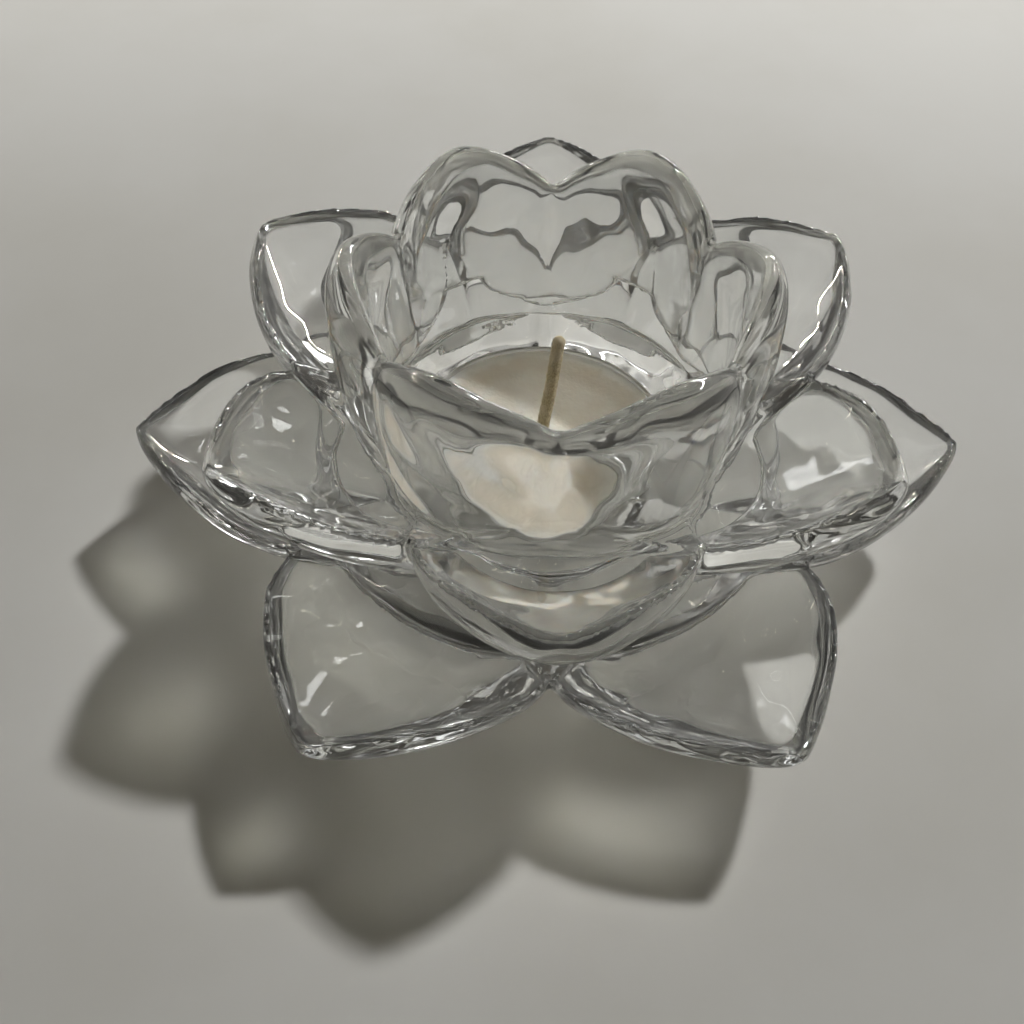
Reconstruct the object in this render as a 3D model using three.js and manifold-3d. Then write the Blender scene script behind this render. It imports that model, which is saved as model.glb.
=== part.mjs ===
// Pressed-glass lotus candle holder with a loose cup candle standing in its well.
// Millimetres, +Z up, origin on the table under the middle of the foot.
import * as THREE from 'three';
import { mergeVertices } from 'three/addons/utils/BufferGeometryUtils.js';
import Module from 'manifold-3d';

const wasm = await Module();
wasm.setup();

// Fits shared by all pieces
const pieceGap = 0.3;

// Cup candle
const candleCupRadius = 19.2;
const candleCupHeight = 15.5;
const candleCupWall = 0.6;
const candleCupDraft = 1;
const candleCupCorner = 1.6;
const waxBelowRim = 0.5;
const waxMeniscus = 0.5;
const waxPoolRadius = 13.5;
const waxPoolDepth = 0.35;
const waxPoolStep = 1;
const waxMoundWidth = 2;
const candleOffset = -1;
const wickRadius = 1;
const wickFreeLength = 14.5;
const wickStraight = 2;
const wickLeanRight = 2.6;
const wickLeanBack = 5.5;
const sustainerRadius = 6.5;
const sustainerSheet = 0.35;
const sustainerNeckHeight = 4;

// Candle well in the glass
const wellClearance = 0.6;
const wellDraft = 0.9;
const wellCorner = 1.8;
const wellFlare = 2.2;
const wellFlareTop = 30;
const mouthHeight = 41;
const mouthTipWall = 0.4;
const glassFloor = 5;
const clearAbove = 10;

// Foot and body of the glass
const footRadius = 27;
const footEdge = 1.2;
const waistRadius = 29;
const waistHeight = 5;
const bodyRadius = 36;
const bodyHeight = 15;
const bodyTopHeight = 25;
const bodyTopWall = 2.5;

// Petals of every tier
const petalsPerTier = 6;
const cuppingFade = 2.5;
const keelFade = 2;
const outerFace = 0.9;
const outerKeelTip = 4.6;

// Lower petals: almost flat, with upturned tips
const lowerTipRadius = 62;
const lowerTipHeight = 20;
const lowerRootHeight = 9;
const lowerBowHeight = 10;
const lowerHalfWidth = 21;
const lowerCupping = 5.6;
const lowerKeel = 7.5;

// Middle petals: leaning out, with deep keels
const middleTipRadius = 50.8;
const middleTipHeight = 39;
const middleRootHeight = 21;
const middleBowHeight = 24.5;
const middleHalfWidth = 18.4;
const middleCupping = 6.4;
const middleKeel = 12;

// Inner petals: standing up round the well
const innerPeakHeight = 53.5;
const innerPeakFlare = 4.6;
const innerBulge = 8.4;
const innerRootDepth = 6;
const innerHalfWidth = 14.8;
const innerCupping = 7;
const innerFace = 3.6;
const innerBack = 2.6;

// Petal outlines: where along the spine the sides start to close, how full they stay, how bluntly they meet
const lowerShoulder = 0.4;
const lowerFullness = 2;
const lowerClosing = 0.9;
const middleShoulder = 0.36;
const middleFullness = 2.5;
const middleClosing = 0.82;
const innerShoulder = 0.6;
const innerFullness = 3;
const innerClosing = 0.72;
const outerEdge = 2.8;
const innerEdge = 2.6;
const outerTipRounding = 6;
const innerTipRounding = 5;

// Smoothness
const petalStations = 12;
const petalAcross = 4;
const turnedSides = 54;
const cornerSteps = 4;
const sideSteps = 10;
const flareSteps = 5;
const wickSteps = 20;
const wickSides = 5;
const tabSides = 36;
const weldDistance = 1e-4;

// Places that follow from the sizes above
const candleBase = glassFloor + pieceGap;
const candleRim = candleBase + candleCupHeight;
const wellMouthRadius = candleCupRadius + Math.abs(candleOffset) + wellClearance;
const innerRadius = wellMouthRadius + wellFlare;
const openTop = innerPeakHeight + clearAbove;
const waxBase = candleBase + candleCupWall + pieceGap;
const waxTop = candleRim - waxBelowRim;
const wickBore = wickRadius + pieceGap;
const neckRadius = wickBore + sustainerSheet;
const wickBase = waxBase + sustainerSheet + pieceGap;

// A turned solid from (radius, height) points that start and end on the axis, or that close on themselves.
function turned(points, sides) {
  const geometry = new THREE.LatheGeometry(points, sides);
  geometry.deleteAttribute('normal');
  geometry.deleteAttribute('uv');
  return mergeVertices(geometry.rotateX(Math.PI / 2), weldDistance);
}

// A round outer corner of a profile, from its underside up to its side.
function cornerPoints(centre, size) {
  const arc = new THREE.EllipseCurve(centre.x, centre.y, size, size, -Math.PI / 2, 0);
  return arc.getPoints(cornerSteps);
}

function toSolid(geometry) {
  return new wasm.Manifold(new wasm.Mesh({
    numProp: 3,
    vertProperties: new Float32Array(geometry.attributes.position.array),
    triVerts: new Uint32Array(geometry.index.array),
  }));
}

function toGeometry(solid) {
  const mesh = solid.getMesh();
  const geometry = new THREE.BufferGeometry();
  geometry.setAttribute('position', new THREE.BufferAttribute(new Float32Array(mesh.vertProperties), 3));
  geometry.setIndex(new THREE.BufferAttribute(new Uint32Array(mesh.triVerts), 1));
  geometry.computeVertexNormals();
  return geometry;
}

// One petal, lofted along its spine. Each section is a crescent: its edges are lifted towards the flower's
// middle by the cupping, its face lies above the spine and its keel below.
function petal({ spine, outline, halfWidth, cupping, face, keelRoot, keelTip, edge, tipRounding }) {
  const { shoulder, fullness, closing } = outline;
  const positions = [];
  const indices = [];
  const ring = 4 * petalAcross;
  for (let i = 0; i < petalStations; i += 1) {
    const along = Math.sin((Math.PI / 2) * (i / petalStations));
    const centre = spine.getPointAt(along);
    const tangent = spine.getTangentAt(along);
    const past = Math.max(0, (along - shoulder) / (1 - shoulder));
    const width = halfWidth * (1 - past ** fullness) ** closing;
    const round = Math.sqrt(1 - past ** tipRounding);
    const keel = THREE.MathUtils.lerp(keelTip, keelRoot, (1 - along) ** keelFade);
    for (let j = 0; j < ring; j += 1) {
      const turn = (j / ring) * 2 * Math.PI;
      const across = -Math.cos(turn);
      const body = (1 - Math.abs(across) ** edge) ** (1 / edge);
      const upper = Math.sin(turn) > 0;
      const depth = upper ? face * body : -keel * body;
      const rise = cupping * across ** 2 * (1 - past ** cuppingFade) + depth * round;
      positions.push(centre.x - tangent.y * rise, across * width, centre.y + tangent.x * rise);
    }
  }
  const tip = spine.getPointAt(1);
  positions.push(tip.x, 0, tip.y);
  for (let i = 0; i + 1 < petalStations; i += 1) {
    for (let j = 0; j < ring; j += 1) {
      const a = i * ring + j;
      const b = i * ring + ((j + 1) % ring);
      indices.push(a, a + ring, b, b, a + ring, b + ring);
    }
  }
  const last = (petalStations - 1) * ring;
  const apex = petalStations * ring;
  for (let j = 0; j < ring; j += 1) {
    indices.push(last + j, apex, last + ((j + 1) % ring));
  }
  for (let j = 0; j < ring / 2; j += 1) {
    const a = j;
    const b = j + 1;
    const c = (ring - j) % ring;
    const d = ring - j - 1;
    if (j > 0) indices.push(a, b, c);
    if (j < ring / 2 - 1) indices.push(c, b, d);
  }
  const geometry = new THREE.BufferGeometry();
  geometry.setAttribute('position', new THREE.Float32BufferAttribute(positions, 3));
  geometry.setIndex(indices);
  return geometry;
}

// A tier of equal petals round the axis, the first one turned by the given angle in degrees.
function tier(petalGeometry, firstTurn) {
  const step = 360 / petalsPerTier;
  return Array.from({ length: petalsPerTier }, (_, i) => {
    const turn = THREE.MathUtils.degToRad(firstTurn + i * step);
    return toSolid(petalGeometry.clone().rotateZ(turn));
  });
}

const flat = (radius, height) => new THREE.Vector2(radius, height);

function lowerPetal() {
  return petal({
    spine: new THREE.QuadraticBezierCurve(
      flat(wellMouthRadius, lowerRootHeight),
      flat((wellMouthRadius + lowerTipRadius) / 2, lowerBowHeight),
      flat(lowerTipRadius, lowerTipHeight),
    ),
    outline: { shoulder: lowerShoulder, fullness: lowerFullness, closing: lowerClosing },
    halfWidth: lowerHalfWidth,
    cupping: lowerCupping,
    face: outerFace,
    keelRoot: lowerKeel,
    keelTip: outerKeelTip,
    edge: outerEdge,
    tipRounding: outerTipRounding,
  });
}

function middlePetal() {
  return petal({
    spine: new THREE.QuadraticBezierCurve(
      flat(wellMouthRadius, middleRootHeight),
      flat((wellMouthRadius + middleTipRadius) / 2, middleBowHeight),
      flat(middleTipRadius, middleTipHeight),
    ),
    outline: { shoulder: middleShoulder, fullness: middleFullness, closing: middleClosing },
    halfWidth: middleHalfWidth,
    cupping: middleCupping,
    face: outerFace,
    keelRoot: middleKeel,
    keelTip: outerKeelTip,
    edge: outerEdge,
    tipRounding: outerTipRounding,
  });
}

function innerPetal() {
  return petal({
    spine: new THREE.QuadraticBezierCurve(
      flat(innerRadius, candleRim - innerRootDepth),
      flat(innerRadius + innerBulge, (candleRim + innerPeakHeight) / 2),
      flat(innerRadius + innerPeakFlare, innerPeakHeight),
    ),
    outline: { shoulder: innerShoulder, fullness: innerFullness, closing: innerClosing },
    halfWidth: innerHalfWidth,
    cupping: innerCupping,
    face: innerFace,
    keelRoot: innerBack,
    keelTip: innerBack,
    edge: innerEdge,
    tipRounding: innerTipRounding,
  });
}

function body() {
  const corner = cornerPoints(flat(footRadius - footEdge, footEdge), footEdge);
  const side = new THREE.SplineCurve([
    flat(footRadius, footEdge),
    flat(waistRadius, waistHeight),
    flat(bodyRadius, bodyHeight),
    flat(wellMouthRadius + bodyTopWall, bodyTopHeight),
  ]).getPoints(sideSteps);
  return turned([flat(0, 0), ...corner, ...side.slice(1), flat(0, bodyTopHeight)], turnedSides);
}

// The space that is open: the well for the candle, flaring out to the faces of the inner petals. Above a crisp
// edge it leans out with them.
function well() {
  const floorRadius = wellMouthRadius - wellDraft;
  const corner = cornerPoints(flat(floorRadius - wellCorner, glassFloor + wellCorner), wellCorner);
  const flare = new THREE.QuadraticBezierCurve(
    flat(wellMouthRadius, candleRim),
    flat(innerRadius, (candleRim + wellFlareTop) / 2),
    flat(innerRadius, wellFlareTop),
  ).getPoints(flareSteps);
  const mouthLean = (innerPeakFlare - mouthTipWall) / (innerPeakHeight - mouthHeight);
  return turned([
    flat(0, glassFloor),
    ...corner,
    ...flare,
    flat(innerRadius, mouthHeight),
    flat(innerRadius + mouthLean * (openTop - mouthHeight), openTop),
    flat(0, openTop),
  ], turnedSides);
}

function glassLotus() {
  const petals = [
    ...tier(lowerPetal(), 0),
    ...tier(middlePetal(), 180 / petalsPerTier),
    ...tier(innerPetal(), 0),
  ];
  const flower = petals.reduce((joined, one) => joined.add(one), toSolid(body()));
  return toGeometry(flower.subtract(toSolid(well())));
}

function candleCup() {
  const base = candleCupRadius - candleCupDraft;
  const inside = candleCupRadius - candleCupWall;
  const centre = flat(base - candleCupCorner, candleBase + candleCupCorner);
  const outer = cornerPoints(centre, candleCupCorner);
  const inner = cornerPoints(centre, candleCupCorner - candleCupWall).reverse();
  return turned([
    flat(0, candleBase),
    ...outer,
    flat(candleCupRadius, candleRim),
    flat(inside, candleRim),
    ...inner,
    flat(0, candleBase + candleCupWall),
  ], turnedSides);
}

function waxFill() {
  const slope = candleCupDraft / candleCupHeight;
  const insideAt = (height) => candleCupRadius - candleCupWall - pieceGap - (candleRim - height) * slope;
  const neckTop = waxBase + sustainerNeckHeight + pieceGap;
  const tabTop = waxBase + sustainerSheet + pieceGap;
  const chamfer = candleCupCorner;
  const shelf = waxTop - waxMeniscus / 2;
  const profile = [
    flat(sustainerRadius + pieceGap, waxBase),
    flat(insideAt(waxBase) - chamfer, waxBase),
    flat(insideAt(waxBase + chamfer), waxBase + chamfer),
    flat(insideAt(waxTop), waxTop),
    flat(insideAt(waxTop) - waxMeniscus, shelf),
    flat(waxPoolRadius + waxPoolStep, shelf),
    flat(waxPoolRadius, shelf - waxPoolDepth),
    flat(wickBore + waxMoundWidth, shelf - waxPoolDepth),
    flat(wickBore, waxTop),
    flat(wickBore, neckTop),
    flat(neckRadius + pieceGap, neckTop),
    flat(neckRadius + pieceGap, tabTop),
    flat(sustainerRadius + pieceGap, tabTop),
  ];
  return turned([...profile, profile[0]], turnedSides);
}

function wick() {
  const section = new THREE.Shape().absarc(0, 0, wickRadius, 0, 2 * Math.PI);
  const halfway = waxTop + wickFreeLength / 2;
  const path = new THREE.CatmullRomCurve3([
    new THREE.Vector3(0, 0, wickBase),
    new THREE.Vector3(0, 0, waxTop - wickStraight),
    new THREE.Vector3(0, 0, waxTop + pieceGap),
    new THREE.Vector3(wickLeanRight / 2, wickLeanBack / 2, halfway),
    new THREE.Vector3(wickLeanRight, wickLeanBack, waxTop + wickFreeLength),
  ]);
  const sweep = { steps: wickSteps, curveSegments: wickSides, extrudePath: path };
  const geometry = new THREE.ExtrudeGeometry(section, sweep);
  geometry.deleteAttribute('normal');
  geometry.deleteAttribute('uv');
  return mergeVertices(geometry, weldDistance);
}

function wickSustainer() {
  const top = waxBase + sustainerNeckHeight;
  const profile = [
    flat(wickBore, waxBase),
    flat(sustainerRadius, waxBase),
    flat(sustainerRadius, waxBase + sustainerSheet),
    flat(neckRadius, waxBase + sustainerSheet),
    flat(neckRadius, top),
    flat(wickBore, top),
  ];
  return turned([...profile, profile[0]], tabSides);
}

const materials = {
  glass: { color: 0xdfe5e2, roughness: 0.04, metalness: 0, transparent: true, opacity: 0.35 },
  clearCup: { color: 0xe6e8e4, roughness: 0.12, metalness: 0, transparent: true, opacity: 0.3 },
  wax: { color: 0xd9ccb2, roughness: 0.55, metalness: 0 },
  cotton: { color: 0xb59a63, roughness: 0.9, metalness: 0 },
  tinned: { color: 0xb8b8b4, roughness: 0.3, metalness: 1 },
};

function piece(name, geometry, finish) {
  const mesh = new THREE.Mesh(geometry, new THREE.MeshStandardMaterial(materials[finish]));
  mesh.name = name;
  return mesh;
}

const holder = new THREE.Group();
const candle = new THREE.Group();
candle.position.x = candleOffset;
candle.add(
  piece('candle_cup', candleCup(), 'clearCup'),
  piece('wax_fill', waxFill(), 'wax'),
  piece('wick', wick(), 'cotton'),
  piece('wick_sustainer', wickSustainer(), 'tinned'),
);
holder.add(piece('glass_lotus', glassLotus(), 'glass'), candle);

export default holder;
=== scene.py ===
"""Looks of a pressed-glass lotus candle holder with a loose cup candle standing in its well.

The glass is drawn as one smooth field: a turned body and three tiers of petals flow into each other with the soft
fillets of fire-polished glass, and the candle's well is taken out of them. The candle's pieces are turned and swept
meshes. Everything is in metres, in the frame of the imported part.
"""
import logging
import math
from collections.abc import Callable, Sequence
from dataclasses import dataclass, field
from enum import Enum

import bpy
import numpy as np
from mathutils import Matrix, Vector, noise


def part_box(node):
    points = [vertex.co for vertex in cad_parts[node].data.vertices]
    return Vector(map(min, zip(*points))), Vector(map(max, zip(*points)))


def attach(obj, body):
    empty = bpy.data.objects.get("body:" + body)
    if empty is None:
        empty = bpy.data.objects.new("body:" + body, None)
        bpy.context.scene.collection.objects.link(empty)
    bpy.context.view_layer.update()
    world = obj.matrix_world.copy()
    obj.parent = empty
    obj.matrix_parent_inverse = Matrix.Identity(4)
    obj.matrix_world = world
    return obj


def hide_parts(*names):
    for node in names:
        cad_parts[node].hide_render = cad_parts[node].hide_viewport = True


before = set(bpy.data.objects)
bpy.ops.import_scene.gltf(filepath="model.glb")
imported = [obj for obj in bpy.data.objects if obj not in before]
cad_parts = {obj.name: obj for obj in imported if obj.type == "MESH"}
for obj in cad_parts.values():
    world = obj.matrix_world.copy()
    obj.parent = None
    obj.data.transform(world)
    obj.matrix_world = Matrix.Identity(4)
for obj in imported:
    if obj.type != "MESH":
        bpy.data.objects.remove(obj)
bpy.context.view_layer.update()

LOG = logging.getLogger("lotus")
MM = 0.001

Array = np.ndarray
Pair = tuple[float, float]
Triple = tuple[float, float, float]
Colour = tuple[float, float, float, float]


class Body(Enum):
    """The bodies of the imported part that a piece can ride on."""

    HOLDER = "holder"
    CUP = "cup"
    CANDLE = "candle"


class Slot(Enum):
    """Names for the finishes."""

    GLASS = "pressed_glass"
    CLEAR_CUP = "clear_cup"
    WAX = "wax"
    COTTON = "cotton"
    STEEL = "tinned_steel"


class Value:
    """A number on a node socket that takes part in Python arithmetic by adding Math nodes."""

    def __init__(self, graph: "Graph", socket: bpy.types.NodeSocket) -> None:
        """Wraps one output socket of a graph."""
        self.graph = graph
        self.socket = socket

    def _math(self, operation: str, first: "Number", second: "Number") -> "Value":
        """Adds one Math node.

        Args:
            operation: The Math node's operation.
            first: Its first number.
            second: Its second number.

        Returns:
            The node's result.
        """
        return self.graph.value("ShaderNodeMath", {"operation": operation}, {0: first, 1: second})

    def __add__(self, other: "Number") -> "Value":
        """This value plus another."""
        return self._math("ADD", self, other)

    def __radd__(self, other: "Number") -> "Value":
        """Another value plus this one."""
        return self._math("ADD", other, self)

    def __sub__(self, other: "Number") -> "Value":
        """This value less another."""
        return self._math("SUBTRACT", self, other)

    def __rsub__(self, other: "Number") -> "Value":
        """Another value less this one."""
        return self._math("SUBTRACT", other, self)

    def __mul__(self, other: "Number") -> "Value":
        """This value times another."""
        return self._math("MULTIPLY", self, other)

    def __rmul__(self, other: "Number") -> "Value":
        """Another value times this one."""
        return self._math("MULTIPLY", other, self)

    def __pow__(self, other: "Number") -> "Value":
        """This value to a power."""
        return self._math("POWER", self, other)

    def ramp(self, start: float, end: float) -> "Value":
        """A smooth step from 0 at start to 1 at end.

        Args:
            start: The value where the step begins.
            end: The value where it is complete, which may lie below start.

        Returns:
            The stepped value, from 0 to 1.
        """
        settings = {"interpolation_type": "SMOOTHSTEP"}
        if start < end:
            return self.graph.value("ShaderNodeMapRange", settings, {0: self, 1: start, 2: end})
        return 1 - self.graph.value("ShaderNodeMapRange", settings, {0: self, 1: end, 2: start})


Number = Value | float
Given = Value | bpy.types.NodeSocket | float | Sequence[float]


class Graph:
    """The node tree of a material or of the world, with one method that adds any node."""

    COLOUR_MIX = {"factor": 0, "first": 6, "second": 7, "result": 2}

    def __init__(self, owner: bpy.types.Material | bpy.types.World) -> None:
        """Empties the owner's node tree and keeps it."""
        owner.use_nodes = True
        self.tree = owner.node_tree
        self.tree.nodes.clear()

    def add(self, kind: str, settings: dict[str, object], inputs: dict[str | int, Given]) -> bpy.types.Node:
        """Adds one node.

        Args:
            kind: The node's type.
            settings: Its properties, which are set first.
            inputs: Values or links for its sockets, by name or number.

        Returns:
            The new node.
        """
        node = self.tree.nodes.new(kind)
        for key, setting in settings.items():
            setattr(node, key, setting)
        for key, given in inputs.items():
            self.feed(node.inputs[key], given)
        return node

    def value(self, kind: str, settings: dict[str, object], inputs: dict[str | int, Given],
              output: str | int = 0) -> Value:
        """Adds one node and wraps one of its outputs.

        Args:
            kind: The node's type.
            settings: Its properties.
            inputs: Values or links for its sockets.
            output: The name or number of the output.

        Returns:
            The wrapped output.
        """
        return Value(self, self.add(kind, settings, inputs).outputs[output])

    def feed(self, socket: bpy.types.NodeSocket, given: Given) -> None:
        """Links a socket or sets its value.

        Args:
            socket: The input socket.
            given: A wrapped value, another socket, a number or a row of numbers.
        """
        if isinstance(given, Value):
            self.tree.links.new(given.socket, socket)
        elif isinstance(given, bpy.types.NodeSocket):
            self.tree.links.new(given, socket)
        else:
            socket.default_value = given

    def mix(self, factor: Number, first: Given, second: Given) -> Value:
        """Mixes two colours.

        Args:
            factor: 0 gives the first colour and 1 the second.
            first: The first colour.
            second: The second colour.

        Returns:
            The mixed colour.
        """
        at = self.COLOUR_MIX
        inputs = {at["factor"]: factor, at["first"]: first, at["second"]: second}
        return self.value("ShaderNodeMix", {"data_type": "RGBA"}, inputs, at["result"])

    def place(self) -> Value:
        """The point on the piece itself, in metres, which moves with the piece."""
        return self.value("ShaderNodeTexCoord", {}, {}, "Object")

    def grain(self, where: Value, size: float, detail: float = 3.0, rough: float = 0.5) -> Value:
        """Cloudy noise of a given size.

        Args:
            where: The point at which it is read.
            size: The width of its blotches, in metres.
            detail: How many finer layers it has.
            rough: How strong the finer layers are.

        Returns:
            The noise, from 0 to 1.
        """
        inputs = {"Vector": where, "Scale": 1 / size, "Detail": detail, "Roughness": rough}
        return self.value("ShaderNodeTexNoise", {}, inputs, "Fac")

    def bump(self, height: Value, depth: float, strength: float = 1.0) -> Value:
        """A surface normal tipped by a height.

        Args:
            height: The height, from 0 to 1.
            depth: What a height of 1 is, in metres.
            strength: How much of it is used.

        Returns:
            The normal.
        """
        inputs = {"Strength": strength, "Distance": depth, "Height": height}
        return self.value("ShaderNodeBump", {}, inputs, "Normal")


@dataclass(frozen=True)
class Finish:
    """What every finish has: a name and a material made of nodes."""

    name: str

    def material(self) -> bpy.types.Material:
        """Builds the material.

        Returns:
            The material, with its surface linked.
        """
        made = bpy.data.materials.new(self.name)
        graph = Graph(made)
        shader = self.shader(graph)
        output = graph.add("ShaderNodeOutputMaterial", {}, {"Surface": shader.outputs[0]})
        self.volume(graph, output)
        return made

    def shader(self, graph: Graph) -> bpy.types.Node:
        """Adds the surface shader to the graph; each finish has its own."""
        raise NotImplementedError

    def volume(self, graph: Graph, output: bpy.types.Node) -> None:
        """Adds what fills the piece, where a finish has such a thing."""


@dataclass(frozen=True)
class PressedGlass(Finish):
    """Clear glass with the faint ripple that a pressing mould leaves, and a trace of handling.

    Lamp light falls straight through it, less where it lies aslant, so that its shadow has dark edges.
    """

    name: str = "pressed_glass"
    tint: Colour = (0.98, 0.985, 0.98, 1.0)
    index: float = 1.51
    clearness: float = 0.965
    depth_tint: Colour = (0.78, 0.80, 0.785, 1.0)
    depth_density: float = 8.0
    shadow_tint: Colour = (0.28, 0.275, 0.245, 1.0)
    edge_shade: float = 2.0
    ripple_size: float = 6 * MM
    ripple_depth: float = 0.05 * MM
    smear_size: float = 11 * MM
    smear_range: Pair = (0.52, 0.72)
    smear_roughness: float = 0.03

    def shader(self, graph: Graph) -> bpy.types.Node:
        """Adds the glass surface.

        Args:
            graph: The material's nodes.

        Returns:
            The shader node.
        """
        where = graph.place()
        ripple = graph.grain(where, self.ripple_size, detail=1.5, rough=0.4)
        smear = graph.grain(where, self.smear_size, detail=4.0, rough=0.6).ramp(*self.smear_range)
        glass = graph.add("ShaderNodeBsdfPrincipled", {}, {
            "Base Color": self.tint,
            "IOR": self.index,
            "Transmission Weight": self.clearness,
            "Roughness": smear * self.smear_roughness,
            "Normal": graph.bump(ripple, self.ripple_depth),
        })
        passing = graph.add("ShaderNodeBsdfTransparent", {}, {"Color": self.shadow_tint})
        shadow = graph.value("ShaderNodeLightPath", {}, {}, "Is Shadow Ray")
        aslant = graph.value("ShaderNodeLayerWeight", {}, {"Blend": 0.5}, "Facing")
        let_through = shadow * (1 - aslant) ** self.edge_shade
        inputs = {0: let_through, 1: glass.outputs[0], 2: passing.outputs[0]}
        return graph.add("ShaderNodeMixShader", {}, inputs)

    def volume(self, graph: Graph, output: bpy.types.Node) -> None:
        """Gives the thick glass its depth colour.

        Args:
            graph: The material's nodes.
            output: The output node.
        """
        inputs = {"Color": self.depth_tint, "Density": self.depth_density}
        filling = graph.add("ShaderNodeVolumeAbsorption", {}, inputs)
        graph.feed(output.inputs["Volume"], filling.outputs[0])


@dataclass(frozen=True)
class ClearCup(Finish):
    """Thin, slightly milky plastic of a moulded cup, with fine flow marks."""

    name: str = "clear_cup"
    tint: Colour = (0.93, 0.925, 0.89, 1.0)
    index: float = 1.46
    clearness: float = 0.6
    flow_size: float = 2.5 * MM
    flow_depth: float = 0.01 * MM
    roughness: float = 0.04
    scuff_spread: float = 3.0
    scuff_range: Pair = (0.56, 0.7)
    scuff_roughness: float = 0.12

    def shader(self, graph: Graph) -> bpy.types.Node:
        """Adds the plastic surface.

        Args:
            graph: The material's nodes.

        Returns:
            The shader node.
        """
        where = graph.place()
        flow = graph.grain(where, self.flow_size, detail=2.0)
        scuff = graph.grain(where, self.flow_size * self.scuff_spread, detail=5.0, rough=0.65)
        scuff = scuff.ramp(*self.scuff_range)
        return graph.add("ShaderNodeBsdfPrincipled", {}, {
            "Base Color": self.tint,
            "IOR": self.index,
            "Transmission Weight": self.clearness,
            "Roughness": self.roughness + scuff * self.scuff_roughness,
            "Normal": graph.bump(flow, self.flow_depth),
        })


@dataclass(frozen=True)
class CandleWax(Finish):
    """Cream wax: a paler disc within a tan ring, soot specks by the wick and a faintly grained skin."""

    name: str = "candle_wax"
    cream: Colour = (0.68, 0.645, 0.565, 1.0)
    pale: Colour = (0.74, 0.715, 0.645, 1.0)
    tan: Colour = (0.58, 0.525, 0.43, 1.0)
    soot: Colour = (0.16, 0.10, 0.06, 1.0)
    disc_radius: float = 13.5 * MM
    disc_blur: float = 1.2 * MM
    rim_radius: float = 16.4 * MM
    speck_reach: float = 9 * MM
    speck_fade: float = 3 * MM
    speck_size: float = 1.7 * MM
    speck_edge: Pair = (0.24, 0.1)
    speck_spacing: float = 2.2
    speck_share: Pair = (0.55, 0.62)
    mottle_size: float = 5 * MM
    mottle_range: Pair = (0.3, 0.7)
    mottle_shift: float = 4.8 * MM
    ring_strength: float = 0.8
    rim_strength: float = 0.6
    skin_size: float = 0.9 * MM
    skin_depth: float = 0.12 * MM
    roughness: float = 0.42
    skin_roughness: float = 0.2
    centre: Triple = (0.0, 0.0, 0.0)
    glow: float = 0.85
    glow_reach: Triple = (7.0 * MM, 5.6 * MM, 4.2 * MM)

    def shader(self, graph: Graph) -> bpy.types.Node:
        """Adds the wax surface.

        Args:
            graph: The material's nodes.

        Returns:
            The shader node.
        """
        where = graph.place()
        shifted = graph.value("ShaderNodeVectorMath", {"operation": "SUBTRACT"}, {0: where, 1: self.centre})
        flat = graph.value("ShaderNodeVectorMath", {"operation": "MULTIPLY"}, {0: shifted, 1: (1, 1, 0)})
        radius = graph.value("ShaderNodeVectorMath", {"operation": "LENGTH"}, {0: flat}, "Value")
        mottle = graph.grain(where, self.mottle_size, detail=4.0, rough=0.6)
        uneven = radius + (mottle - 0.5) * self.mottle_shift
        ring = uneven.ramp(self.disc_radius - self.disc_blur, self.disc_radius + self.disc_blur)
        colour = graph.mix(mottle.ramp(*self.mottle_range), self.cream, self.pale)
        colour = graph.mix(ring * self.ring_strength, colour, self.tan)
        rim = uneven.ramp(self.rim_radius, self.rim_radius + self.disc_blur)
        colour = graph.mix(rim * self.rim_strength, colour, self.pale)
        cells = {"Vector": where, "Scale": 1 / self.speck_size}
        near = graph.value("ShaderNodeTexVoronoi", {}, cells, "Distance")
        lot = graph.grain(where, self.speck_size * self.speck_spacing, detail=0.0)
        speck = near.ramp(*self.speck_edge) * lot.ramp(*self.speck_share)
        speck = speck * radius.ramp(self.speck_reach, self.speck_fade)
        colour = graph.mix(speck, colour, self.soot)
        skin = graph.grain(where, self.skin_size, detail=3.0, rough=0.55)
        return graph.add("ShaderNodeBsdfPrincipled", {}, {
            "Base Color": colour,
            "Roughness": self.roughness + skin * self.skin_roughness,
            "Subsurface Weight": self.glow,
            "Subsurface Radius": self.glow_reach,
            "Subsurface Scale": 1.0,
            "Normal": graph.bump(skin, self.skin_depth),
        })


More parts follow.
